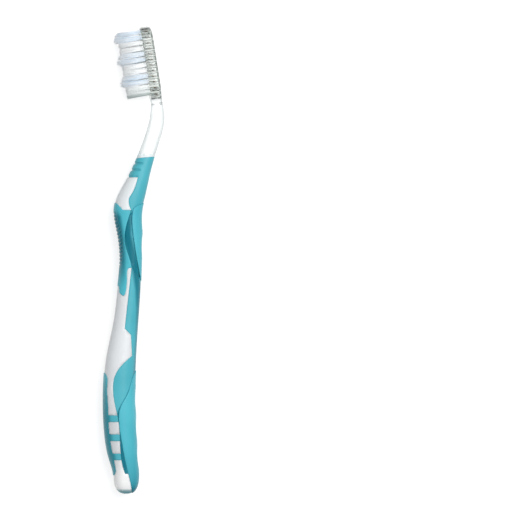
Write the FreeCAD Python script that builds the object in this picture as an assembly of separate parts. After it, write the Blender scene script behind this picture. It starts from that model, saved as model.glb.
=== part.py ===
import FreeCAD
import Part
import math
import os

# A manual toothbrush that lies on its side, in millimetres. X runs down the brush from the head's tip to
# the tail, the bristles point to -Y and the back of the handle to +Y, and both flanks are alike about the
# middle plane. The origin ends up under the middle of the brush, on the surface that it lies on.

Vector = FreeCAD.Vector

# Head plate
HEAD_LENGTH = 31.5
HEAD_WIDTH = 11.6
HEAD_THICKNESS = 4.6
HEAD_TILT = 9.0
HEAD_TIP_LENGTH = 5.4
SHOULDER_LENGTH = 7.5
HEAD_FACE_FILLET = 0.7
HEAD_BACK_FILLET = 1.5
FILLET_LIMIT = 0.4

# Bristle tufts, in bands of rows that stand up in a crest or lie in a valley
TUFT_DIAMETER = 1.75
TUFT_WALL = 0.5
FIRST_ROW = 1.9
LAST_ROW_CLEAR = 4.8
HEAD_RIM = 1.0
HOLE_DEPTH = 3.5
VALLEY_HEIGHT = 9.1
CREST_HEIGHT = 11.2
CREST_SHARE = 0.62
ROWS_IN_BAND = 2

# Metal anchor in the foot of each tuft
ANCHOR_WIDTH = 2.1
ANCHOR_HEIGHT = 1.5
ANCHOR_THICKNESS = 0.25
ANCHOR_TURN = 40.0
TUFT_FOLD = 0.4

# Handle sections from neck to tail: step from the section before, front and back height over the handle's
# axis, and width. The neck's root takes its front from the head plate.
NECK_ROOT_BACK = 13.76
NECK_ROOT_WIDTH = 5.2
NECK_CREST = (5.5, 8.75, 14.6, 5.5)
NECK_FALL = (9.97, 5.9, 12.7, 6.4)
COLLAR_TOP = (7.0, 3.2, 10.5, 7.4)
COLLAR_FOOT = (8.8, -0.9, 8.2, 9.0)
WINDOW = (6.7, -4.5, 6.7, 10.4)
THUMB_PEAK = (5.3, -5.8, 5.5, 11.0)
THUMB_SLOPE = (9.0, -4.6, 5.4, 10.9)
WAIST = (12.0, -3.4, 5.2, 10.0)
WAIST_FOOT = (11.0, -4.4, 4.8, 9.8)
FLARE = (13.7, -6.1, 3.9, 10.4)
HIP = (14.2, -9.0, 3.0, 12.0)
PALM = (16.1, -10.2, 2.6, 13.2)
HEEL = (14.3, -9.7, 3.05, 13.0)
HEEL_FOOT = (11.0, -7.8, 3.6, 12.2)
TAIL = (6.2, -6.1, 4.0, 11.0)
TAIL_END_LENGTH = 8.0

# Soft grips: depth under the clear surface, height of the pads over it, and the groove between two pads
GRIP_DEPTH = 1.3
PAD_RISE = 0.25
GROOVE_DEPTH = 0.5

# Thumb pad: crescent ribs, and the clear notch between its two tails
RIB_PITCH = 1.46
RIB_GAP = 0.62
RIB_DEPTH = 0.55
RIB_RADIUS = 5.2
RIB_FIELD_START = 2.2
RIB_FIELD_LENGTH = 22.0
RIB_FIELD_WIDTH = 8.2
RIB_LEAF = (0.22, 0.84)
RIB_SWEEP_LIMIT = 0.95
NOTCH_WIDTH = 6.0
NOTCH_START = 12.6

# Cross grooves on the front of the collar
COLLAR_GROOVES = 3
COLLAR_GROOVE_START = 2.2
COLLAR_GROOVE_PITCH = 2.7
COLLAR_GROOVE_GAP = 0.9
COLLAR_GROOVE_DEPTH = 0.4
COLLAR_GROOVE_REACH = 0.42

# Finger waves of the two back pads
WAVE_PITCH = 11.0
WAVE_LENGTH = 9.6
WAVE_DEPTH = 0.45
FINGER_WAVES = 2
FINGER_WAVE_START = 4.3
HEEL_WAVES = 3
HEEL_WAVE_START = 1.0

# Palm ladder
RAIL_DEPTH = 1.2
RUNGS = 3
RUNG_HEIGHT = 2.6
RUNG_PITCH = 7.75
RUNG_START = 7.5
RUNG_REACH = 0.52

# How the smooth skins are drawn
SECTION_POINTS = 16
ROOT_SQUARENESS = 3.2
GRIP_SQUARENESS = 2.3
TAIL_SQUARENESS = 2.6
NECK_SECTIONS = 3
ROOT_OVERLAP = 2.0
ROOT_INSET = 0.15
END_ANGLES = (25.0, 45.0, 62.0, 75.0, 86.0)
ROUNDING = 0.5523
TOUCH = 0.01

TILT = math.radians(HEAD_TILT)
TUFT_PITCH = TUFT_DIAMETER + TUFT_WALL
TUFT_RADIUS = TUFT_DIAMETER / 2
HEAD_HALF = HEAD_WIDTH / 2
ROOT_HALF = NECK_ROOT_WIDTH / 2


# Handle skeleton: every section as place, front, back and width

def handle_sections():
    place = HEAD_LENGTH * math.cos(TILT)
    front = NECK_ROOT_BACK - HEAD_THICKNESS / math.cos(TILT)
    sections = [(place, front, NECK_ROOT_BACK, NECK_ROOT_WIDTH)]
    for step, front, back, width in (
        NECK_CREST, NECK_FALL, COLLAR_TOP, COLLAR_FOOT, WINDOW, THUMB_PEAK, THUMB_SLOPE, WAIST,
        WAIST_FOOT, FLARE, HIP, PALM, HEEL, HEEL_FOOT, TAIL,
    ):
        place += step
        sections.append((place, front, back, width))
    return sections


SECTIONS = handle_sections()
COLLAR_SECTION = 3
THUMB_SECTION = 6
WAIST_SECTION = 8
PALM_SECTION = 12
BREADTH = 2 * max(section[3] for section in SECTIONS)
REACH = 2 * max(section[2] - section[1] for section in SECTIONS)


def section_wire(place, front, back, width, squareness):
    """A closed smooth curve across the handle."""
    middle = (front + back) / 2
    points = []
    for i in range(SECTION_POINTS):
        angle = 2 * math.pi * i / SECTION_POINTS
        deep = math.copysign(abs(math.cos(angle)) ** (2 / squareness), math.cos(angle))
        wide = math.copysign(abs(math.sin(angle)) ** (2 / squareness), math.sin(angle))
        points.append(Vector(place, middle + deep * (back - front) / 2, wide * width / 2))
    curve = Part.BSplineCurve()
    curve.interpolate(Points=points, PeriodicFlag=True)
    return Part.Wire(curve.toShape())


def envelope(grow):
    """The handle from the neck's root to the tail, with its skin moved out by grow."""
    place, front, back, width = SECTIONS[0]
    lead = ROOT_OVERLAP * math.tan(TILT)
    inset = grow - ROOT_INSET
    wires = [section_wire(place - ROOT_OVERLAP, front - lead - inset, back - lead + inset,
                          width + 2 * inset, ROOT_SQUARENESS)]
    for i, (place, front, back, width) in enumerate(SECTIONS):
        share = max(0.0, 1 - i / NECK_SECTIONS)
        squareness = GRIP_SQUARENESS + (ROOT_SQUARENESS - GRIP_SQUARENESS) * share
        wires.append(section_wire(place, front - grow, back + grow, width + 2 * grow, squareness))
    place, front, back, width = SECTIONS[-1]
    middle = (front + back) / 2
    for angle in END_ANGLES:
        across = math.cos(math.radians(angle)) ** (2 / TAIL_SQUARENESS)
        along = math.sin(math.radians(angle)) ** (2 / TAIL_SQUARENESS)
        half = ((back - front) / 2 + grow) * across
        wires.append(section_wire(place + (TAIL_END_LENGTH + grow) * along, middle - half, middle + half,
                                  (width + 2 * grow) * across, GRIP_SQUARENESS))
    return Part.makeLoft(wires, True)


# Places on the flank: a section number and a share of the depth, 0 at the front and 1 at the back

def at_section(section, column):
    low = max(0, min(int(section), len(SECTIONS) - 2))
    here = SECTIONS[low][column]
    return here + (section - low) * (SECTIONS[low + 1][column] - here)


def flank(section, depth):
    front = at_section(section, 1)
    return Vector(at_section(section, 0), front + depth * (at_section(section, 2) - front), 0)


def behind_front(section, depth_mm):
    return Vector(at_section(section, 0), at_section(section, 1) + depth_mm, 0)


def section_at(place):
    """The section number of a place along the handle."""
    low = max(i for i in range(len(SECTIONS) - 1) if SECTIONS[i][0] <= place)
    return low + (place - SECTIONS[low][0]) / (SECTIONS[low + 1][0] - SECTIONS[low][0])


def through_both_flanks(*runs):
    """A prism across the handle. A run of points is a curve, a run of two a line, and lines join them."""
    edges = []
    for run, following in zip(runs, runs[1:] + runs[:1]):
        if len(run) > 2:
            curve = Part.BSplineCurve()
            curve.interpolate(Points=run)
            edges.append(curve.toShape())
        elif len(run) == 2:
            edges.append(Part.makeLine(run[0], run[1]))
        if not run[-1].isEqual(following[0], TOUCH):
            edges.append(Part.makeLine(run[-1], following[0]))
    face = Part.Face(Part.Wire(edges))
    face.translate(Vector(0, 0, -BREADTH))
    return face.extrude(Vector(0, 0, 2 * BREADTH))


# Regions of the grips, as seen from the side

def finger_pad_region():
    return through_both_flanks(
        [flank(5.30, 1.12), flank(5.53, 1.00), flank(5.72, 0.80), flank(5.97, 0.66), flank(6.30, 0.59),
         flank(7.12, 0.594), flank(7.46, 0.65), flank(7.80, 0.711), flank(8.15, 0.815), flank(8.52, 0.926),
         flank(8.90, 1.10)],
        [flank(8.90, 1.60), flank(5.30, 1.60)],
    )


def heel_pad_region():
    return through_both_flanks(
        [flank(11.28, 1.10), flank(11.45, 0.92), flank(11.90, 0.733), flank(12.14, 0.573),
         flank(12.36, 0.455), flank(12.60, 0.42), flank(13.39, 0.463), flank(14.00, 0.505),
         flank(15.00, 0.55), flank(16.00, 0.61)],
        [flank(16.80, 0.66), flank(16.80, 1.60)],
        [flank(11.28, 1.60)],
    )


def shell_outline():
    return through_both_flanks(
        [flank(2.89, 1.40), flank(3.06, -0.50)],
        [flank(3.91, -0.50), flank(3.91, 0.43)],
        [flank(3.91, 0.43), flank(4.36, 0.47), flank(4.84, 0.448), flank(5.17, 0.40), flank(5.53, 0.425),
         flank(6.05, 0.56)],
        [flank(6.05, 0.56), flank(6.59, 0.385), flank(7.08, 0.255), flank(7.36, 0.232), flank(7.68, 0.30),
         flank(8.02, 0.43), flank(8.30, 0.50)],
        [flank(8.30, 0.50), flank(8.60, 0.483), flank(9.36, 0.45), flank(10.19, 0.445)],
        [flank(10.19, 0.445), flank(10.375, 0.715)],
        [flank(10.375, 0.715), flank(10.97, 0.826)],
        [flank(10.97, 0.826), flank(11.19, 0.505), flank(11.50, 0.266), flank(11.70, 0.238),
         flank(11.94, 0.262), flank(12.30, 0.324), flank(12.55, 0.38)],
        [flank(12.55, 0.38), flank(13.59, 0.387), flank(14.60, 0.385), flank(14.95, 0.42)],
        [flank(14.95, 0.75), flank(12.60, 0.70)],
        [flank(11.60, 1.40)],
    )


def thumb_outline():
    return through_both_flanks(
        [flank(5.36, -0.15), flank(5.60, 0.02), flank(5.78, 0.116), flank(6.05, 0.26)],
        [flank(6.05, 0.60), flank(7.00, 0.50)],
        [flank(8.26, 0.60), flank(8.26, 0.37)],
        [flank(8.26, 0.37), flank(8.34, 0.322), flank(8.60, 0.322), flank(8.89, 0.335), flank(9.10, 0.32),
         flank(9.23, 0.25), flank(9.16, 0.10), flank(9.00, -0.30)],
    )


def groove_region():
    """The crescent between thumb pad and finger pad."""
    return through_both_flanks(
        [flank(6.12, 0.62), flank(6.60, 0.32), flank(7.30, 0.16), flank(7.90, 0.34), flank(8.20, 0.52),
         flank(8.45, 0.68), flank(8.66, 0.84), flank(8.68, 0.93)],
        [flank(8.40, 1.00), flank(7.00, 0.75)],
    )


def notch_region():
    """The clear slot between the tails of the thumb pad, seen from the front."""
    start = SECTIONS[WAIST_SECTION][0] + NOTCH_START
    radius = NOTCH_WIDTH / 2
    length = SECTIONS[WAIST_SECTION + 2][0] - start
    slot = Part.makeBox(length, REACH, NOTCH_WIDTH, Vector(start, -REACH, -radius))
    crown = Part.makeCylinder(radius, REACH, Vector(start, -REACH, 0), Vector(0, 1, 0))
    return slot.fuse(crown)


def ladder_region():
    """A rail down the front of the lower handle, and rungs that reach back to the shell."""
    rail = through_both_flanks(
        [behind_front(11.35, -RAIL_DEPTH), behind_front(11.50, RAIL_DEPTH / 3)]
        + [behind_front(11.80, 2 * RAIL_DEPTH / 3)]
        + [behind_front(s, RAIL_DEPTH) for s in (12.2, 12.6, 13.2, 13.8, 14.4)]
        + [behind_front(14.90, RAIL_DEPTH / 2), behind_front(15.20, -RAIL_DEPTH)],
        [behind_front(13.0, -3 * RAIL_DEPTH)],
    )
    rungs = []
    for i in range(RUNGS):
        start = SECTIONS[PALM_SECTION][0] + RUNG_START + i * RUNG_PITCH
        section = section_at(start)
        low = behind_front(section, -RAIL_DEPTH).y
        high = flank(section, RUNG_REACH).y
        rungs.append(Part.makeBox(RUNG_HEIGHT, high - low, 2 * BREADTH, Vector(start, low, -BREADTH)))
    return rail.fuse(rungs)


# Relief of the grips

def arc_band(centre, turn):
    """One gap between two ribs, bowed about a centre on the middle plane and swept to both sides by turn."""
    def spot(radius, angle):
        return Vector(centre + radius * math.cos(angle), -REACH, radius * math.sin(angle))

    inside = RIB_RADIUS - RIB_GAP / 2
    outside = RIB_RADIUS + RIB_GAP / 2
    face = Part.Face(Part.Wire([
        Part.Arc(spot(inside, -turn), spot(inside, 0), spot(inside, turn)).toShape(),
        Part.makeLine(spot(inside, turn), spot(outside, turn)),
        Part.Arc(spot(outside, turn), spot(outside, 0), spot(outside, -turn)).toShape(),
        Part.makeLine(spot(outside, -turn), spot(inside, -turn)),
    ]))
    return face.extrude(Vector(0, REACH, 0))


def crescent_ribs():
    """Gaps between the ribs of the thumb pad, in a field shaped like a leaf and bowed towards the tail."""
    start = SECTIONS[THUMB_SECTION][0] + RIB_FIELD_START
    gaps = []
    for i in range(int(RIB_FIELD_LENGTH / RIB_PITCH)):
        share = i * RIB_PITCH / RIB_FIELD_LENGTH
        leaf = RIB_LEAF[0] + (RIB_LEAF[1] - RIB_LEAF[0]) * share
        half = RIB_FIELD_WIDTH / 2 * math.sin(math.pi * leaf)
        turn = math.asin(min(half / RIB_RADIUS, RIB_SWEEP_LIMIT))
        gaps.append(arc_band(start + i * RIB_PITCH - RIB_RADIUS, turn))
    return gaps


def collar_grooves():
    bars = []
    for i in range(COLLAR_GROOVES):
        start = SECTIONS[COLLAR_SECTION][0] + COLLAR_GROOVE_START + i * COLLAR_GROOVE_PITCH
        top = flank(section_at(start), COLLAR_GROOVE_REACH).y
        corner = Vector(start - COLLAR_GROOVE_GAP / 2, top - REACH, -BREADTH)
        bars.append(Part.makeBox(COLLAR_GROOVE_GAP, REACH, 2 * BREADTH, corner))
    return bars


def finger_waves(start, count):
    """Shallow hollows across the back, each the side of a wide cylinder."""
    radius = ((WAVE_LENGTH / 2) ** 2 + WAVE_DEPTH ** 2) / (2 * WAVE_DEPTH)
    rollers = []
    for i in range(count):
        place = start + i * WAVE_PITCH
        back = flank(section_at(place), 1).y + PAD_RISE
        centre = Vector(place, back + radius - WAVE_DEPTH, -BREADTH)
        rollers.append(Part.makeCylinder(radius, 2 * BREADTH, centre))
    return rollers


# Head plate in its own frame: x from the tip, y from the bristle face to the back, z across

HEAD_FRAME = FreeCAD.Placement(Vector(), FreeCAD.Rotation(Vector(0, 0, 1), HEAD_TILT))
HEAD_FRAME.Base = (Vector(SECTIONS[0][0], NECK_ROOT_BACK, 0)
                   - HEAD_FRAME.Rotation.multVec(Vector(HEAD_LENGTH, HEAD_THICKNESS, 0)))


def bezier(*poles):
    curve = Part.BezierCurve()
    curve.setPoles(list(poles))
    return curve.toShape()


def head_plate():
    square = 1 - ROUNDING
    side = HEAD_LENGTH - SHOULDER_LENGTH
    middle = HEAD_LENGTH - SHOULDER_LENGTH / 2
    edges = []
    for way in (1, -1):
        wide = way * HEAD_HALF
        edges += [
            bezier(Vector(0, 0, 0), Vector(0, 0, ROUNDING * wide),
                   Vector(square * HEAD_TIP_LENGTH, 0, wide), Vector(HEAD_TIP_LENGTH, 0, wide)),
            Part.makeLine(Vector(HEAD_TIP_LENGTH, 0, wide), Vector(side, 0, wide)),
            bezier(Vector(side, 0, wide), Vector(middle, 0, wide),
                   Vector(middle, 0, way * ROOT_HALF), Vector(HEAD_LENGTH, 0, way * ROOT_HALF)),
        ]
    edges.append(Part.makeLine(Vector(HEAD_LENGTH, 0, ROOT_HALF), Vector(HEAD_LENGTH, 0, -ROOT_HALF)))
    plate = Part.Face(Part.Wire(Part.__sortEdges__(edges))).extrude(Vector(0, HEAD_THICKNESS, 0))
    for height, fillet in ((0, HEAD_FACE_FILLET), (HEAD_THICKNESS, HEAD_BACK_FILLET)):
        rim = [e for e in plate.Edges
               if abs(e.CenterOfMass.y - height) < TOUCH and e.BoundBox.YLength < TOUCH
               and e.CenterOfMass.x < HEAD_LENGTH - TOUCH]
        plate = plate.makeFillet(min(fillet, FILLET_LIMIT * HEAD_THICKNESS), rim)
    return plate


def head_half_width(u):
    if u < HEAD_TIP_LENGTH:
        return HEAD_HALF * math.sqrt(1 - (1 - u / HEAD_TIP_LENGTH) ** 2)
    share = max(0.0, (u - HEAD_LENGTH + SHOULDER_LENGTH) / SHOULDER_LENGTH)
    return HEAD_HALF + (ROOT_HALF - HEAD_HALF) * share * share * (3 - 2 * share)


ROW_RUN = HEAD_LENGTH - FIRST_ROW - LAST_ROW_CLEAR
ROWS = int(ROW_RUN / TUFT_PITCH) + 1
ROW_PITCH = ROW_RUN / (ROWS - 1)


def row_spots(row):
    """The tufts of one row, as many as fit between the head's rims there, spread from rim to rim."""
    u = FIRST_ROW + row * ROW_PITCH
    room = 2 * (head_half_width(u) - HEAD_RIM - TUFT_RADIUS)
    gaps = int(room / TUFT_PITCH)
    return [Vector(u, 0, room * (i / gaps - 1 / 2)) for i in range(gaps + 1)]


def trim_block():
    """All that lies under the trimmed ends of the bristles."""
    band = ROWS_IN_BAND * ROW_PITCH
    line = []
    for i in range(0, math.ceil(ROWS / ROWS_IN_BAND), 2):
        start = FIRST_ROW - ROW_PITCH / 2 + i * band
        crest = start + CREST_SHARE * band
        line += [(start, VALLEY_HEIGHT), (crest, CREST_HEIGHT), (start + band, VALLEY_HEIGHT)]
    corners = [(-HEAD_LENGTH, -HEAD_THICKNESS), (-HEAD_LENGTH, VALLEY_HEIGHT)] + line
    corners += [(2 * HEAD_LENGTH, VALLEY_HEIGHT), (2 * HEAD_LENGTH, -HEAD_THICKNESS)]
    points = [Vector(u, -height, -HEAD_WIDTH) for u, height in corners]
    face = Part.Face(Part.makePolygon(points + points[:1]))
    return face.extrude(Vector(0, 0, 2 * HEAD_WIDTH))


def tuft_rod(spot, top):
    return Part.makeCylinder(TUFT_RADIUS, HOLE_DEPTH + top, spot + Vector(0, -top, 0), Vector(0, 1, 0))


def anchor_plate(spot):
    deep = HOLE_DEPTH - TUFT_FOLD
    plate = Part.makeBox(ANCHOR_THICKNESS, ANCHOR_HEIGHT, ANCHOR_WIDTH,
                         Vector(-ANCHOR_THICKNESS / 2, deep - ANCHOR_HEIGHT, -ANCHOR_WIDTH / 2))
    plate.rotate(Vector(), Vector(0, 1, 0), ANCHOR_TURN)
    plate.translate(spot)
    return plate


def in_place(shape):
    return shape.transformed(HEAD_FRAME.toMatrix())


# Build every piece

base = envelope(0)
inner = envelope(-GRIP_DEPTH)
raised = envelope(PAD_RISE)
pad_skin = raised.cut(inner)

finger_region = finger_pad_region()
heel_region = heel_pad_region()
shell_all = shell_outline()
thumb_region = thumb_outline().cut([shell_all, notch_region()])
palm_region = ladder_region().cut([shell_all, heel_region])
soft_region = shell_all.fuse([finger_region, heel_region, thumb_region, palm_region])


def relief(floor, tools):
    """What the tools take away of a skin, down to a floor that follows it."""
    return Part.makeCompound(tools).cut(envelope(floor))


groove = relief(-GROOVE_DEPTH, [groove_region()])
collar_cuts = relief(-COLLAR_GROOVE_DEPTH, collar_grooves())
rib_cuts = relief(PAD_RISE - RIB_DEPTH, crescent_ribs())
thumb_start = SECTIONS[THUMB_SECTION][0] + FINGER_WAVE_START
heel_start = SECTIONS[PALM_SECTION][0] + HEEL_WAVE_START

pieces = {
    "grip_shell": base.cut(inner).common(shell_all).cut([finger_region, heel_region, groove, collar_cuts]),
    "thumb_pad": pad_skin.common(thumb_region).cut(rib_cuts),
    "finger_pad": pad_skin.common(finger_region).cut(finger_waves(thumb_start, FINGER_WAVES)),
    "heel_pad": pad_skin.common(heel_region).cut(finger_waves(heel_start, HEEL_WAVES)),
    "palm_ladder": pad_skin.common(palm_region),
}

trim = trim_block()
holes = []
anchors = []
for row in range(ROWS):
    spots = row_spots(row)
    plates = [anchor_plate(spot) for spot in spots]
    rods = [tuft_rod(spot, CREST_HEIGHT).common(trim) for spot in spots]
    tufts = [rod.cut(plate) for rod, plate in zip(rods, plates)]
    holes += [tuft_rod(spot, 0) for spot in spots]
    anchors += plates
    pieces[f"tuft_row_{row + 1:02d}"] = in_place(Part.makeCompound(tufts))
    pieces[f"anchor_row_{row + 1:02d}"] = in_place(Part.makeCompound(plates))

head = in_place(head_plate())
core = base.fuse(head).cut(pad_skin.common(soft_region))
pieces["handle_core"] = core.cut([in_place(tool) for tool in holes + anchors])

# Stand the brush on the middle of its box and write it out

whole = Part.makeCompound(list(pieces.values())).optimalBoundingBox(False, False)
shift = Vector(-whole.Center.x, -whole.Center.y, -whole.ZMin)
os.makedirs("parts", exist_ok=True)
for name, shape in pieces.items():
    shape.translate(shift)
    shape.exportStep(f"parts/{name}.step")
    state = "valid" if shape.isValid() else "INVALID"
    print(name, len(shape.Solids), "solids", round(shape.Volume, 2), "mm3", state)
print("size", round(whole.XLength, 2), round(whole.YLength, 2), round(whole.ZLength, 2), "shift", shift)
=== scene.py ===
# %% [markdown]
# # A manual toothbrush
# The solids of the brush come in first as a fixed frame, in metres. Every piece below sits where a
# solid says, so the script starts by keeping the box of those solids, which spans the ramps along
# the brush and holds the rubber inside it.

import math

import bmesh
import bpy
from mathutils import Matrix, Vector
from mathutils.bvhtree import BVHTree


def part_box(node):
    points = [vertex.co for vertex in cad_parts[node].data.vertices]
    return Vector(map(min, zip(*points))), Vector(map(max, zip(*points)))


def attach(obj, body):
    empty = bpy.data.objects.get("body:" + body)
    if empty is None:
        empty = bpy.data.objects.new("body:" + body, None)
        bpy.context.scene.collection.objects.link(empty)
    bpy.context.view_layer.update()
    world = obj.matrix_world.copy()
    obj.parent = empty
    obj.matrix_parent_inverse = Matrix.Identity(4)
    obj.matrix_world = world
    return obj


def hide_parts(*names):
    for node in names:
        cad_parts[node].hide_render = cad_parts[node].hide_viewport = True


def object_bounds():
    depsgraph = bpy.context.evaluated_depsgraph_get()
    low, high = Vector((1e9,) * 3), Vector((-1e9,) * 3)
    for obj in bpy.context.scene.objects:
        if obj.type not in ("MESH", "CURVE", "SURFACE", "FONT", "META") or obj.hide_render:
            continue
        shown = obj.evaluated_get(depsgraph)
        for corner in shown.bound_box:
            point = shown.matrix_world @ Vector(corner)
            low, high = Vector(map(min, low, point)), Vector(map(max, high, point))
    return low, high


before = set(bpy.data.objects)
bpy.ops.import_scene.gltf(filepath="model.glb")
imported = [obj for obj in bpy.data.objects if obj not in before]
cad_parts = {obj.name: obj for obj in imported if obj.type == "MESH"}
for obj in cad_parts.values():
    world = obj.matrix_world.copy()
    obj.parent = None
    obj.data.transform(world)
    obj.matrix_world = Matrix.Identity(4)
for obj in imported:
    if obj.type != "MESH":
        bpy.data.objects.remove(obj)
solid_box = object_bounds()
MM = 0.001
solid_size = [round(v / MM, 1) for v in solid_box[1] - solid_box[0]]
print("solids:", len(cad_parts), "nodes, box", solid_size, "mm")

# %% [markdown]
# ## A starting point for every finish
# All the finishes are shader trees on Blender's Principled shader. A texture needs a place to live,
# and Object coordinates give one that stays with the piece. A constant goes straight on the
# shader's socket, because a value that reaches it through other nodes is lost when the model is
# exported.

# %% Material helpers
def new_finish(name, **constants):
    """A material with a Principled shader, its constants set, and Object coordinates to build on."""
    material = bpy.data.materials.new(name)
    material.use_nodes = True
    tree = material.node_tree
    shader = tree.nodes["Principled BSDF"]
    for socket, value in constants.items():
        shader.inputs[socket.replace("_", " ")].default_value = value
    place = tree.nodes.new("ShaderNodeTexCoord").outputs["Object"]
    return material, tree, shader, place


def noise(tree, place, scale, detail=3.0):
    node = tree.nodes.new("ShaderNodeTexNoise")
    node.inputs["Scale"].default_value = scale
    node.inputs["Detail"].default_value = detail
    tree.links.new(place, node.inputs["Vector"])
    return node.outputs["Fac"]


def ramp(tree, value, *stops):
    node = tree.nodes.new("ShaderNodeValToRGB")
    while len(node.color_ramp.elements) < len(stops):
        node.color_ramp.elements.new(0.5)
    for element, (position, colour) in zip(node.color_ramp.elements, stops):
        element.position = position
        element.color = (*colour, 1.0)
    tree.links.new(value, node.inputs["Fac"])
    return node.outputs["Color"]


def bump(tree, shader, height, strength, distance):
    node = tree.nodes.new("ShaderNodeBump")
    node.inputs["Strength"].default_value = strength
    node.inputs["Distance"].default_value = distance
    tree.links.new(height, node.inputs["Height"])
    tree.links.new(node.outputs["Normal"], shader.inputs["Normal"])


def mixed(tree, how, share, first, second):
    """Two colours blended. The share and the second colour may be plain values."""
    node = tree.nodes.new("ShaderNodeMix")
    node.data_type = "RGBA"
    node.blend_type = how
    colours = [i for i in node.inputs if i.type == "RGBA"]
    for value, socket in ((share, node.inputs["Factor"]), (first, colours[0]), (second, colours[1])):
        if isinstance(value, bpy.types.NodeSocket):
            tree.links.new(value, socket)
        else:
            socket.default_value = value
    return [o for o in node.outputs if o.type == "RGBA"][0]


def grey(value):
    return (value, value, value)


print("helpers for finishes: new_finish, noise, ramp, bump, mixed, grey")

# %% [markdown]
# ## Clear plastic
# The core is a clear moulded plastic. Head and neck are as clear as glass, so the anchors show
# inside the head. In the grip the plastic is milky, and its windows look pale and not like holes.
# Both have the index of a clear styrene plastic, and the milky one lets less light through. A ramp
# along the brush sets the tint and paints shade into it: greyer in the head with its many holes,
# greyer between the rungs of the ladder, and palest at the tail, which ends in a thin teal rim.
# Light that skims an edge of the clear plastic crosses more of it, and a ramp on the facing angle
# paints that as shade on the edges of the neck, and less on those of the head, because its holes
# darken it already. Moulded plastic is never quite even, so a slow noise dulls the polish in places.

# %% Clear core finishes
def along_brush(tree, place):
    """0 at the tip of the head, 1 at the end of the tail."""
    parts = tree.nodes.new("ShaderNodeSeparateXYZ")
    tree.links.new(place, parts.inputs[0])
    span = tree.nodes.new("ShaderNodeMapRange")
    span.inputs["From Min"].default_value = solid_box[0].x
    span.inputs["From Max"].default_value = solid_box[1].x
    tree.links.new(parts.outputs["X"], span.inputs["Value"])
    return span.outputs["Result"]


STYRENE_INDEX = 1.5
POLISH_WAVES, RIPPLE_WAVES = 90.0, 160.0  # noise waves in a metre
RIPPLE_STRENGTH, RIPPLE_HEIGHT = 0.08, 0.2 * MM


def clear_plastic(name, clearness, polish, tints_and_shade, edge_shade=None, edge_shade_shares=None):
    material, tree, shader, place = new_finish(name, Transmission_Weight=clearness, IOR=STYRENE_INDEX)
    along = along_brush(tree, place)
    # The ramp along the brush gives the plastic's tint and its painted shade.
    colour = ramp(tree, along, *tints_and_shade)
    if edge_shade:
        # Painted shade on the edges, by the facing angle.
        skim = tree.nodes.new("ShaderNodeLayerWeight")
        skim.inputs["Blend"].default_value = 0.5
        edge = ramp(tree, skim.outputs["Facing"], *edge_shade)
        colour = mixed(tree, "MULTIPLY", ramp(tree, along, *edge_shade_shares), colour, edge)
    tree.links.new(colour, shader.inputs["Base Color"])
    even, dull = polish
    roughness = ramp(tree, noise(tree, place, POLISH_WAVES), (0.35, grey(even)), (0.75, grey(dull)))
    tree.links.new(roughness, shader.inputs["Roughness"])
    bump(tree, shader, noise(tree, place, RIPPLE_WAVES), RIPPLE_STRENGTH, RIPPLE_HEIGHT)
    return material


def let_lamps_in(material, passed):
    """Clear pieces would shade what they hold, so rays towards a lamp pass them as a thin tinted film."""
    tree = material.node_tree
    film = tree.nodes.new("ShaderNodeBsdfTransparent")
    film.inputs["Color"].default_value = (*passed, 1.0)
    choice = tree.nodes.new("ShaderNodeMixShader")
    path = tree.nodes.new("ShaderNodeLightPath")
    tree.links.new(path.outputs["Is Shadow Ray"], choice.inputs["Fac"])
    tree.links.new(tree.nodes["Principled BSDF"].outputs["BSDF"], choice.inputs[1])
    tree.links.new(film.outputs["BSDF"], choice.inputs[2])
    tree.links.new(choice.outputs["Shader"], tree.nodes["Material Output"].inputs["Surface"])


HEAD_END, NECK_START = 0.145, 0.155  # shares of the brush's length
# Painted shade greys the head.
clear_head = clear_plastic(
    "clear_head", clearness=1.0, polish=(0.04, 0.14),
    tints_and_shade=((HEAD_END, (0.71, 0.755, 0.715)), (NECK_START, grey(1.0))),
    edge_shade=((0.02, (0.95, 0.96, 0.96)), (0.1, (0.84, 0.86, 0.86)),
                (0.3, (0.54, 0.58, 0.58)), (0.8, (0.3, 0.34, 0.34))),
    edge_shade_shares=((HEAD_END, grey(0.3)), (NECK_START, grey(1.0))))
# Painted shade greys the milky grip between the rungs of the ladder.
milky_grip = clear_plastic(
    "milky_grip", clearness=0.12, polish=(0.32, 0.45), tints_and_shade=(
        (0.3, (0.84, 0.89, 0.90)), (0.6, (0.82, 0.84, 0.85)), (0.8, (0.80, 0.82, 0.83)),
        (0.84, (0.70, 0.72, 0.73)), (0.92, (0.72, 0.74, 0.75)), (0.955, (0.99, 0.99, 0.98)),
        (0.989, (0.99, 0.99, 0.98)), (0.9935, (0.06, 0.28, 0.32))))
CLEAR_PASSES = (0.85, 0.87, 0.87)
let_lamps_in(clear_head, CLEAR_PASSES)
print("finish:", clear_head.name, milky_grip.name)

# %% [markdown]
# ## Soft rubber
# The grips are a satin rubber in two teals, the pads lighter than the shell between them. A flat
# colour looks like paint, so each teal wanders a little between two tones, the roughness wanders
# with it, and a fine grain breaks up the highlight. Each piece carries a painted value named shade,
# which darkens its grooves and hollows.

# %% Rubber finishes
# The deep teal that the painted shade mixes in.
SHADED_TEAL = (0.0, 0.165, 0.225, 1.0)
TONE_WAVES, SATIN_WAVES, GRAIN_WAVES = 55.0, 300.0, 2600.0
GRAIN_STRENGTH, GRAIN_HEIGHT = 0.12, 0.08 * MM


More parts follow.
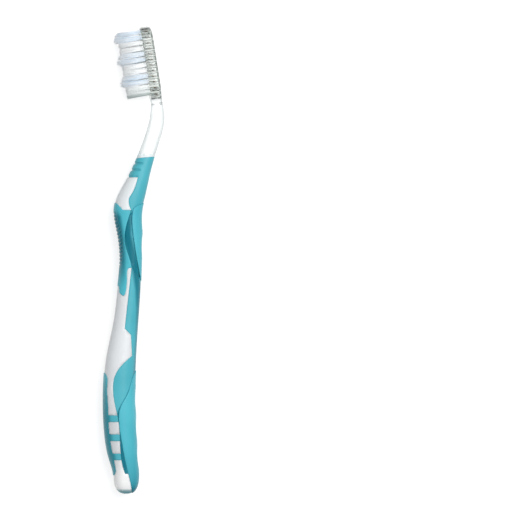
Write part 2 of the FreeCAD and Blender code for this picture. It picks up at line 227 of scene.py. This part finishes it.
def rubber(name, dark, light):
    material, tree, shader, place = new_finish(name, Specular_IOR_Level=0.24)
    colour = ramp(tree, noise(tree, place, TONE_WAVES), (0.3, dark), (0.7, light))
    shade = tree.nodes.new("ShaderNodeAttribute")
    shade.attribute_name = "shade"
    # Painted shade: the value named shade mixes the teal towards a deep shaded teal.
    colour = mixed(tree, "MIX", shade.outputs["Fac"], colour, SHADED_TEAL)
    tree.links.new(colour, shader.inputs["Base Color"])
    satin = ramp(tree, noise(tree, place, SATIN_WAVES), (0.3, grey(0.3)), (0.7, grey(0.42)))
    tree.links.new(satin, shader.inputs["Roughness"])
    bump(tree, shader, noise(tree, place, GRAIN_WAVES, 2.0), GRAIN_STRENGTH, GRAIN_HEIGHT)
    return material


pad_rubber = rubber("pad_rubber", (0.07, 0.44, 0.53), (0.095, 0.51, 0.60))
shell_rubber = rubber("shell_rubber", (0.065, 0.395, 0.47), (0.09, 0.46, 0.54))
print("finish:", pad_rubber.name, shell_rubber.name)

# %% [markdown]
# ## Bristles and anchors
# A filament is a thin rod of nylon. Each one carries a random value named tone, and the ramp turns
# that into a slightly different tint, as in a real tuft. Nylon passes on much of the light that
# falls on it, so a tuft is bright inside too: rays towards a lamp pass the filaments as they pass
# the clear head. The last pair of rows has its back to the light and is greyer towards the neck,
# which a ramp along the tilted head paints. The anchors are small flat strips of brass, seen as
# brown marks through the clear head.

# %% Bristle and anchor finishes
HEAD_TILT = math.radians(9.0)
ALONG = Vector((math.cos(HEAD_TILT), math.sin(HEAD_TILT), 0.0))
LAST_ROWS = (-69.5 * MM, -65.0 * MM)  # from where to where along the tilted head


def last_rows_shade(tree, place):
    """White up to the last pair of rows, and greyer from there to their far side."""
    reach = tree.nodes.new("ShaderNodeVectorMath")
    reach.operation = "DOT_PRODUCT"
    reach.inputs[1].default_value = ALONG
    tree.links.new(place, reach.inputs[0])
    span = tree.nodes.new("ShaderNodeMapRange")
    span.inputs["From Min"].default_value, span.inputs["From Max"].default_value = LAST_ROWS
    tree.links.new(reach.outputs["Value"], span.inputs["Value"])
    return ramp(tree, span.outputs["Result"], (0.0, grey(1.0)), (0.3, (0.95, 0.97, 0.96)),
                (0.65, (0.96, 0.98, 0.97)), (0.82, (0.56, 0.62, 0.60)), (1.0, (0.42, 0.48, 0.46)))


NYLON_PASSES = (0.97, 0.98, 0.98)


def nylon(name, deep, pale):
    material, tree, shader, place = new_finish(
        name, Roughness=0.4, IOR=1.45, Specular_IOR_Level=0.4, Sheen_Weight=0.8, Sheen_Roughness=0.5)
    tone = tree.nodes.new("ShaderNodeAttribute")
    tone.attribute_name = "tone"
    tint = ramp(tree, tone.outputs["Fac"], (0.0, deep), (1.0, pale))
    tint = mixed(tree, "MULTIPLY", 1.0, tint, last_rows_shade(tree, place))
    tree.links.new(tint, shader.inputs["Base Color"])
    let_lamps_in(material, NYLON_PASSES)
    return material


blue_nylon = nylon("blue_nylon", (0.64, 0.78, 0.90), (0.99, 0.99, 1.0))
white_nylon = nylon("white_nylon", (0.93, 0.95, 0.95), (1.0, 1.0, 1.0))
STAIN_WAVES, SCUFF_WAVES = 900.0, 1500.0
anchor_brass, tree, shader, place = new_finish("anchor_brass", Metallic=0.5)
brown = ramp(tree, noise(tree, place, STAIN_WAVES), (0.3, (0.17, 0.10, 0.045)), (0.7, (0.32, 0.20, 0.09)))
tree.links.new(brown, shader.inputs["Base Color"])
scuffs = ramp(tree, noise(tree, place, SCUFF_WAVES), (0.3, grey(0.35)), (0.7, grey(0.55)))
tree.links.new(scuffs, shader.inputs["Roughness"])
print("finish:", blue_nylon.name, white_nylon.name, anchor_brass.name)

# %% [markdown]
# ## The clear core
# A solid arrives as loose triangles, which Blender shades flat. A copy with its doubled points
# merged can be shaded smooth, with an edge kept sharp only where two faces meet at a real corner.
# Smooth normals matter most on clear plastic, where every facet would bend the light its own way.
# The milky plastic starts a little above the collar, because clear plastic down to the collar would
# show dark spots of the rubber inside it.

# %% Clear core from a merged copy
SAME_POINT = 0.002 * MM
REAL_CORNER = math.radians(35.0)


def merged_copy(node, name):
    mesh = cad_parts[node].data.copy()
    mesh.name = name
    mesh.materials.clear()
    form = bmesh.new()
    form.from_mesh(mesh)
    bmesh.ops.remove_doubles(form, verts=form.verts, dist=SAME_POINT)
    form.to_mesh(mesh)
    form.free()
    piece = bpy.data.objects.new(name, mesh)
    bpy.context.scene.collection.objects.link(piece)
    return piece


def stand_for(piece, node):
    """The piece rides on the brush and takes the place of the solid, which is hidden."""
    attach(piece, "root")
    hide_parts(node)
    print("piece:", piece.name, len(piece.data.polygons), "faces")


ABOVE_COLLAR = 0.8 * MM
milky_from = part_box("grip_shell")[0].x - ABOVE_COLLAR
core = merged_copy("handle_core", "clear_core")
core.data.shade_smooth()
core.data.set_sharp_from_angle(angle=REAL_CORNER)
core.data.materials.append(clear_head)
core.data.materials.append(milky_grip)
for face in core.data.polygons:
    face.material_index = int(face.center.x > milky_from)
stand_for(core, "handle_core")

# %% [markdown]
# ## Soft grips
# Rubber that comes out of a mould has no knife edges. Beveling the edges of such dense triangles is
# fragile, so the copy is rebuilt from small voxels instead, and a few rounds of smoothing round
# every edge alike. It is then pushed out by a few hundredths of a millimetre into the clear core,
# so that the two look bonded with no film of air, and held inside the box of the solids.

# %% Rounded rubber pieces
VOXEL = 0.22 * MM
BOND = 0.03 * MM
ROUNDING_STEPS = 3
ROUNDING_SHARE = 0.5


def plain_mesh(piece):
    """The piece's modifiers are worked into its mesh and removed."""
    mesh = bpy.data.meshes.new_from_object(piece.evaluated_get(bpy.context.evaluated_depsgraph_get()))
    piece.modifiers.clear()
    piece.data = mesh
    mesh.name = piece.name
    return mesh


def soft_grip(node, finish):
    piece = merged_copy(node, "soft_" + node)
    remesh = piece.modifiers.new("voxels", "REMESH")
    remesh.mode = "VOXEL"
    remesh.voxel_size = VOXEL
    smooth = piece.modifiers.new("rounding", "SMOOTH")
    smooth.factor = ROUNDING_SHARE
    smooth.iterations = ROUNDING_STEPS
    push = piece.modifiers.new("bond", "DISPLACE")
    push.mid_level = 0.0
    push.strength = BOND
    shaped = plain_mesh(piece)
    shaped.materials.clear()
    shaped.materials.append(finish)
    shaped.shade_smooth()
    for vert in shaped.vertices:
        vert.co = [min(max(v, low), high) for v, low, high in zip(vert.co, *solid_box)]
    stand_for(piece, node)
    return piece


PADS = ("thumb_pad", "finger_pad", "heel_pad")
grips = {node: soft_grip(node, pad_rubber) for node in PADS}
for node in ("grip_shell", "palm_ladder"):
    grips[node] = soft_grip(node, shell_rubber)

# %% [markdown]
# ## Shade in the groove and the seams
# The crescent between the thumb pad and the finger pad is recessed, and painted shade makes it a
# deep teal. The painted shade runs on as a dark band down the back edge and as a thin line beside
# the heel pad. The ribbed front of the thumb pad gets as dark a painted shade, and the rail of the
# ladder a softer one along its front. Painted shade also darkens the heel pad towards the end of
# the brush. Light alone won't make such tones in such shallow forms, so the points get a painted
# value: full along the middle line of a band, falling to 0 at its edges.
# The band on the heel pad is broader than the pad, so there only its length counts.

# %% Dark bands
BAND_SLOPE = 1.6  # how steeply a band fades at its edges
# Each place of a line, in mm: along the brush, towards the back, half the breadth; then the depth of tone
GROOVE_LINE = (
    (-20.3, -1.5, 0.5, 0.6), (-15.5, -2.5, 1.5, 1.0), (-10.3, -3.0, 2.2, 1.0), (-6.2, -2.1, 2.4, 1.0),
    (-2.0, -1.1, 2.4, 1.0), (2.0, -0.2, 2.2, 1.0), (6.0, 0.6, 2.0, 0.9), (12.0, 1.5, 1.8, 0.8),
    (20.0, 2.0, 1.8, 0.75), (27.0, 1.9, 1.8, 0.7), (42.0, 0.9, 1.5, 0.65),
    (46.4, -0.1, 0.6, 0.6), (51.5, -1.7, 0.6, 0.7), (55.6, -3.6, 0.6, 0.8), (59.8, -6.0, 0.8, 0.9),
    (63.0, -6.9, 1.1, 1.0), (68.2, -6.6, 1.2, 1.0), (76.0, -5.6, 1.3, 1.0), (84.0, -4.2, 1.3, 1.0),
    (87.5, -3.2, 0.9, 0.8),
)
RIB_LINE = (
    (-20.5, -7.6, 0.8, 0.0), (-17.5, -7.1, 2.0, 0.9), (-8.0, -5.9, 2.2, 0.9), (0.0, -5.3, 2.0, 0.85),
    (5.0, -5.1, 1.8, 0.5), (11.0, -5.0, 1.6, 0.0),
)
RAIL_LINE = (
    (48.0, -11.6, 1.0, 0.0), (54.0, -11.9, 1.8, 0.5), (63.5, -11.6, 2.0, 0.65), (74.0, -10.5, 2.0, 0.65),
    (82.4, -8.7, 1.8, 0.6), (88.0, -7.1, 1.2, 0.3),
)
HEEL_LINE = (
    (68.0, 0.0, 20.0, 0.0), (77.0, 0.0, 20.0, 0.08), (85.4, 0.0, 20.0, 0.28), (89.5, 0.0, 20.0, 0.45),
    (91.5, 0.0, 20.0, 0.65), (93.0, 0.0, 20.0, 1.0), (95.0, 0.0, 20.0, 1.0),
)
# Painted shade along these lines, by piece.
BANDS = {"grip_shell": GROOVE_LINE, "thumb_pad": RIB_LINE, "palm_ladder": RAIL_LINE,
         "heel_pad": HEEL_LINE}


def band_shade(point, line):
    x, y = point.x / MM, point.y / MM
    for (x0, y0, half0, tone0), (x1, y1, half1, tone1) in zip(line, line[1:]):
        if x0 <= x < x1:
            share = (x - x0) / (x1 - x0)
            off = abs(y - y0 - (y1 - y0) * share) / (half0 + (half1 - half0) * share)
            full = max(0.0, min(1.0, BAND_SLOPE - BAND_SLOPE * off))
            return full * (tone0 + (tone1 - tone0) * share)
    return 0.0


print("dark bands:", {node: len(line) for node, line in BANDS.items()}, "places")

# %% [markdown]
# ## Shade in the hollows
# Narrow gaps, such as those between the ribs of the thumb pad, lie in shade, and that shade is
# painted into the colour. A few short rays from each point tell how closed in it is: a ray that soon
# hits the same piece counts as shade. A fixed fan of rays gives the same result on every run.

# %% Hollows from short rays
RAYS = 8
RAY_TILT = math.radians(55.0)
RAY_LENGTH = 1.1 * MM


def hollow_shade(mesh):
    tree = BVHTree.FromPolygons([v.co for v in mesh.vertices], [p.vertices for p in mesh.polygons])
    values = []
    for vert in mesh.vertices:
        side = vert.normal.orthogonal().normalized()
        across = vert.normal.cross(side)
        hits = 0
        for i in range(RAYS):
            turn = 2 * math.pi * i / RAYS
            flat = side * math.cos(turn) + across * math.sin(turn)
            ray = vert.normal * math.cos(RAY_TILT) + flat * math.sin(RAY_TILT)
            hits += tree.ray_cast(vert.co + vert.normal * BOND, ray, RAY_LENGTH)[0] is not None
        values.append(hits / RAYS)
    return values


print("hollows:", RAYS, "rays of", round(RAY_LENGTH / MM, 1), "mm from each point")

# %% Paint the rubber
HOLLOW_DEPTH = {"thumb_pad": 0.85, "grip_shell": 0.5}
HOLLOW_GAIN = 1.5
for node, piece in grips.items():
    mesh = piece.data
    hollow = hollow_shade(mesh) if node in HOLLOW_DEPTH else [0.0] * len(mesh.vertices)
    groove = [band_shade(v.co, BANDS.get(node, ())) for v in mesh.vertices]
    deepest = HOLLOW_DEPTH.get(node, 0.0)
    # Painted shade: the darker of the band and the hollow.
    values = [max(g, min(deepest, HOLLOW_GAIN * h)) for g, h in zip(groove, hollow)]
    mesh.attributes.new("shade", "FLOAT", "POINT").data.foreach_set("value", values)
    print("shade:", node, sum(v > 0.5 for v in values), "of", len(values), "points are dark")

# %% [markdown]
# ## Where the tufts stand
# Each row of tufts is one solid per tuft, so the loose islands of its mesh give the place of every
# tuft. The head is tilted, so the points are turned into the head's own axes first: along the head,
# and out along the bristles.

# %% Read the tufts from the solids
OUT = Vector((math.sin(HEAD_TILT), -math.cos(HEAD_TILT), 0.0))
TRIM_ZONE = 3.0 * MM


def islands(mesh):
    """Groups of points that hang together, each as a list of places, in the mesh's own order."""
    form = bmesh.new()
    form.from_mesh(mesh)
    bmesh.ops.remove_doubles(form, verts=form.verts, dist=SAME_POINT)
    seen = set()
    groups = []
    for start in form.verts:
        if start in seen:
            continue
        seen.add(start)
        edge = [start]
        group = []
        while edge:
            vert = edge.pop()
            group.append(vert.co.copy())
            for side in vert.link_edges:
                near = side.other_vert(vert)
                if near not in seen:
                    seen.add(near)
                    edge.append(near)
        groups.append(group)
    form.free()
    return groups


def tuft_facts(points):
    """Centre along the head and across it, radius, foot, and the trimmed rim as (along, across, out)."""
    local = [Vector((p.dot(ALONG), p.z, p.dot(OUT))) for p in points]
    low = [min(p[i] for p in local) for i in range(3)]
    high = [max(p[i] for p in local) for i in range(3)]
    rim = [p for p in local if p[2] > high[2] - TRIM_ZONE]
    return (low[0] + high[0]) / 2, (low[1] + high[1]) / 2, (high[1] - low[1]) / 2, low[2], rim


tuft_nodes = {n: o for n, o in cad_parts.items() if n.startswith("tuft_row")}
rows = {n: [tuft_facts(g) for g in islands(o.data)] for n, o in tuft_nodes.items()}
print("tufts:", sum(len(tufts) for tufts in rows.values()), "in", len(rows), "rows")

# %% [markdown]
# ## Filaments with Geometry Nodes
# A tuft is some forty filaments pushed into one hole. The tree scatters points over a small disc at
# the foot of each tuft, never closer than a filament is thick, and puts a thin tapered rod on every
# point. The disc's points carry the trimmed length, so the rods end on the same wavy line as the
# solids. A small random lean keeps them apart.

# %% Filament tree
INPUTS = (("Spacing", "Float"), ("Radius", "Float"), ("Lean", "Float"), ("Uneven", "Float"),
          ("Seed", "Int"), ("Finish", "Material"))
ROD_SIDES = 6
TIP_SHARE = 0.8
DENSE = 1.0e9  # points in a square metre, so many that only the spacing limits them


def filament_tree():
    tree = bpy.data.node_groups.new("filaments", "GeometryNodeTree")
    tree.interface.new_socket("Geometry", in_out="INPUT", socket_type="NodeSocketGeometry")
    sizes = {}
    for name, kind in INPUTS:
        socket = tree.interface.new_socket(name, in_out="INPUT", socket_type="NodeSocket" + kind)
        sizes[name] = socket.identifier
    tree.interface.new_socket("Geometry", in_out="OUTPUT", socket_type="NodeSocketGeometry")
    add = tree.nodes.new
    link = tree.links.new
    given = add("NodeGroupInput").outputs
    result = add("NodeGroupOutput").inputs

    scatter = add("GeometryNodeDistributePointsOnFaces")
    scatter.distribute_method = "POISSON"
    scatter.inputs["Density Max"].default_value = DENSE
    link(given["Geometry"], scatter.inputs["Mesh"])
    link(given["Spacing"], scatter.inputs["Distance Min"])
    link(given["Seed"], scatter.inputs["Seed"])

    rod = add("GeometryNodeMeshCone")
    rod.inputs["Vertices"].default_value = ROD_SIDES
    rod.inputs["Depth"].default_value = 1.0
    link(given["Radius"], rod.inputs["Radius Bottom"])
    taper = add("ShaderNodeMath")
    taper.operation = "MULTIPLY"
    taper.inputs[1].default_value = TIP_SHARE
    link(given["Radius"], taper.inputs[0])
    link(taper.outputs[0], rod.inputs["Radius Top"])

    length = add("GeometryNodeInputNamedAttribute")
    length.data_type = "FLOAT"
    length.inputs["Name"].default_value = "length"
    cut = add("FunctionNodeRandomValue")
    cut.data_type = "FLOAT"
    link(given["Seed"], cut.inputs["Seed"])
    short = add("ShaderNodeMath")
    short.operation = "SUBTRACT"
    short.inputs[0].default_value = 1.0
    link(given["Uneven"], short.inputs[1])
    link(short.outputs[0], cut.inputs[2])
    grown = add("ShaderNodeMath")
    grown.operation = "MULTIPLY"
    link(length.outputs["Attribute"], grown.inputs[0])
    link(cut.outputs[1], grown.inputs[1])
    stretch = add("ShaderNodeCombineXYZ")
    stretch.inputs["X"].default_value = 1.0
    stretch.inputs["Y"].default_value = 1.0
    link(grown.outputs[0], stretch.inputs["Z"])

    sway = add("FunctionNodeRandomValue")
    sway.data_type = "FLOAT_VECTOR"
    back = add("ShaderNodeMath")
    back.operation = "MULTIPLY"
    back.inputs[1].default_value = -1.0
    link(given["Lean"], back.inputs[0])
    for limit, value in ((0, back.outputs[0]), (1, given["Lean"])):
        lean = add("ShaderNodeCombineXYZ")
        link(value, lean.inputs["X"])
        link(value, lean.inputs["Y"])
        link(lean.outputs[0], sway.inputs[limit])
    link(given["Seed"], sway.inputs["Seed"])
    turn = add("FunctionNodeRotateRotation")
    turn.rotation_space = "LOCAL"
    link(scatter.outputs["Rotation"], turn.inputs["Rotation"])
    link(sway.outputs[0], turn.inputs["Rotate By"])

    plant = add("GeometryNodeInstanceOnPoints")
    link(scatter.outputs["Points"], plant.inputs["Points"])
    link(rod.outputs["Mesh"], plant.inputs["Instance"])
    link(turn.outputs["Rotation"], plant.inputs["Rotation"])
    link(stretch.outputs[0], plant.inputs["Scale"])
    tone = add("GeometryNodeStoreNamedAttribute")
    tone.data_type = "FLOAT"
    tone.domain = "INSTANCE"
    tone.inputs["Name"].default_value = "tone"
    tint = add("FunctionNodeRandomValue")
    tint.data_type = "FLOAT"
    link(given["Seed"], tint.inputs["Seed"])
    link(plant.outputs["Instances"], tone.inputs["Geometry"])
    link(tint.outputs[1], tone.inputs["Value"])
    real = add("GeometryNodeRealizeInstances")
    link(tone.outputs["Geometry"], real.inputs["Geometry"])
    finish = add("GeometryNodeSetMaterial")
    link(real.outputs["Geometry"], finish.inputs["Geometry"])
    link(given["Finish"], finish.inputs["Material"])
    link(finish.outputs["Geometry"], result["Geometry"])
    return tree, sizes


filaments, size_of = filament_tree()
print("tree:", filaments.name, len(filaments.nodes), "nodes")

# %% [markdown]
# ## Plant the rows
# Every row gets a mesh of small discs, one at the foot of each tuft. The tree grows the row from
# it, and the grown result is stored as a plain mesh, because the modifier can't leave Blender. Rows
# go in pairs, blue and white.

# %% Grow every row
DISC_SIDES = 12
FOOT_CLEAR = 0.5 * MM
RIM_CLEAR = 0.1 * MM
TIP_POINTS = 4
FIRST_SEED = 11
FILAMENT = {"Spacing": 0.19 * MM, "Radius": 0.09 * MM, "Lean": 0.05, "Uneven": 0.04}


def foot_discs(name, tufts):
    form = bmesh.new()
    lengths = []
    for along, across, radius, foot, rim in tufts:
        def corner(du, dz):
            spot = Vector((along + du, across + dz))
            nearest = sorted(rim, key=lambda p: (Vector((p[0], p[1])) - spot).length)[:TIP_POINTS]
            tip = max(p[2] for p in nearest)
            lengths.append(tip - foot - FOOT_CLEAR)
            across_head = Vector((0.0, 0.0, spot[1]))
            return form.verts.new(ALONG * spot[0] + OUT * (foot + FOOT_CLEAR) + across_head)

        reach = radius - RIM_CLEAR
        middle = corner(0.0, 0.0)
        ring = [corner(reach * math.cos(a), reach * math.sin(a))
                for a in (2 * math.pi * i / DISC_SIDES for i in range(DISC_SIDES))]
        for a, b in zip(ring, ring[1:] + ring[:1]):
            face = form.faces.new((middle, a, b))
            face.normal_update()
            if face.normal.dot(OUT) < 0:
                face.normal_flip()
    mesh = bpy.data.meshes.new(name)
    form.to_mesh(mesh)
    form.free()
    mesh.attributes.new("length", "FLOAT", "POINT").data.foreach_set("value", lengths)
    return mesh


for number, (node, tufts) in enumerate(sorted(rows.items())):
    blue = (number // 2) % 2 == 0
    row = bpy.data.objects.new("bristle_" + node[5:], foot_discs("feet_" + node, tufts))
    bpy.context.scene.collection.objects.link(row)
    grow = row.modifiers.new("filaments", "NODES")
    grow.node_group = filaments
    finish = blue_nylon if blue else white_nylon
    for name, value in (*FILAMENT.items(), ("Seed", FIRST_SEED + number), ("Finish", finish)):
        grow[size_of[name]] = value
    plain_mesh(row).shade_smooth()
    stand_for(row, node)

# %% [markdown]
# ## Anchors
# The anchors are right as solids: small flat strips. They only need their brass.

# %% Finish the anchors
for node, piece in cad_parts.items():
    if node.startswith("anchor_row"):
        piece.data.materials.clear()
        piece.data.materials.append(anchor_brass)
print("anchors:", sum(n.startswith("anchor_row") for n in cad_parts), "rows in brass")

# %% [markdown]
# ## A white floor
# The brush lies on a white floor with no visible edge. Plain white paint under soft light renders
# light grey, so the camera sees part of it as a white glow. Reflections and clear plastic see that
# glow too, but only near the brush: what they bend sideways meets a greyer floor far away, and that
# draws the thin grey edges of the clear neck. The rest is ordinary paint, and that part keeps the
# shadow.

# %% Floor
FLOOR_REACH = 6.0
FLOOR_GLOW = 0.7
FLOOR_GREY = 0.45
FLOOR_DROP = 0.1 * MM
NEAR, FAR, FAR_GLOW = 0.1, 0.45, 0.25

floor_mesh = bpy.data.meshes.new("floor")
corners = [(FLOOR_REACH * x, FLOOR_REACH * y, 0) for x, y in ((-1, -1), (1, -1), (1, 1), (-1, 1))]
floor_mesh.from_pydata(corners, [], [(0, 1, 2, 3)])
floor = bpy.data.objects.new("floor", floor_mesh)
bpy.context.scene.collection.objects.link(floor)
floor.location.z = -FLOOR_DROP


def math_node(tree, operation, first, second):
    node = tree.nodes.new("ShaderNodeMath")
    node.operation = operation
    for value, socket in ((first, node.inputs[0]), (second, node.inputs[1])):
        if isinstance(value, float):
            socket.default_value = value
        else:
            tree.links.new(value, socket)
    return node.outputs[0]


white_floor, tree, shader, place = new_finish(
    "white_floor", Base_Color=(*grey(FLOOR_GREY), 1.0), Roughness=0.9, Specular_IOR_Level=0.0,
    Emission_Color=(1.0, 1.0, 1.0, 1.0))
path = tree.nodes.new("ShaderNodeLightPath")
away = tree.nodes.new("ShaderNodeVectorMath")
away.operation = "LENGTH"
tree.links.new(place, away.inputs[0])
fade = tree.nodes.new("ShaderNodeMapRange")
for socket, value in (("From Min", NEAR), ("From Max", FAR), ("To Min", 1.0), ("To Max", FAR_GLOW)):
    fade.inputs[socket].default_value = value
tree.links.new(away.outputs["Value"], fade.inputs["Value"])
bent = math_node(tree, "MAXIMUM", path.outputs["Is Glossy Ray"], path.outputs["Is Transmission Ray"])
bent = math_node(tree, "MULTIPLY", bent, fade.outputs["Result"])
seen = math_node(tree, "MAXIMUM", path.outputs["Is Camera Ray"], bent)
tree.links.new(math_node(tree, "MULTIPLY", seen, FLOOR_GLOW), shader.inputs["Emission Strength"])
floor_mesh.materials.append(white_floor)
print("floor:", floor.name)

# %% [markdown]
# ## Soft studio light
# One large lamp stands above the head end, on the side of the brush's back, and a weaker one above
# the tail end fills the front. Surroundings of a dim, cool white light every side a little, so that
# no shade is black. They are dimmer than the floor, and the clear plastic mirrors and bends them
# into its edges, which would vanish in a white room.

# %% Lamps and surroundings
SURROUNDINGS = (0.78, 0.80, 0.82, 1.0)
SURROUNDINGS_STRENGTH = 0.6


def lamp(name, place, size, power):
    data = bpy.data.lights.new(name, "AREA")
    data.size = size
    data.energy = power
    thing = bpy.data.objects.new(name, data)
    thing.location = place
    thing.rotation_mode = "QUATERNION"
    thing.rotation_quaternion = (-Vector(place)).to_track_quat("-Z", "Y")
    bpy.context.scene.collection.objects.link(thing)


lamp("key_lamp", place=(-0.4, 0.35, 1.1), size=0.8, power=10.0)
lamp("fill_lamp", place=(0.6, -0.5, 0.9), size=0.6, power=1.8)
world = bpy.data.worlds.new("studio")
world.use_nodes = True
background = world.node_tree.nodes["Background"]
background.inputs["Color"].default_value = SURROUNDINGS
background.inputs["Strength"].default_value = SURROUNDINGS_STRENGTH
bpy.context.scene.world = world
bpy.context.scene.view_settings.view_transform = "Standard"
print("lamps: 2, in dim white surroundings")

# %% [markdown]
# ## Camera
# The brush is seen from straight above its flank, turned a few degrees so that its front just
# shows. The head is at the top of the picture, and the brush stands left of the middle, so the
# camera looks at a place beside it. A long lens from far away keeps the head and the tail at one
# scale.

# %% Camera
FRAME_WIDTH = 216.9 * MM
DISTANCE = 1.6
TURN = math.radians(7.4)
AIM = Vector((2.43, 54.16, 7.0)) * MM
SENSOR_WIDTH = 36.0
FARTHEST = 20.0

lens = bpy.data.cameras.new("camera")
lens.sensor_width = SENSOR_WIDTH
lens.lens = SENSOR_WIDTH * DISTANCE / FRAME_WIDTH
lens.clip_end = FARTHEST
camera = bpy.data.objects.new("camera", lens)
bpy.context.scene.collection.objects.link(camera)
away = Vector((0.0, -math.sin(TURN), math.cos(TURN)))
right = Vector((0.0, math.cos(TURN), math.sin(TURN)))
up = away.cross(right)
turned = Matrix((right, up, away)).transposed().to_4x4()
camera.matrix_world = Matrix.Translation(AIM + away * DISTANCE) @ turned
bpy.context.scene.camera = camera
print("camera: lens", round(lens.lens), "mm")
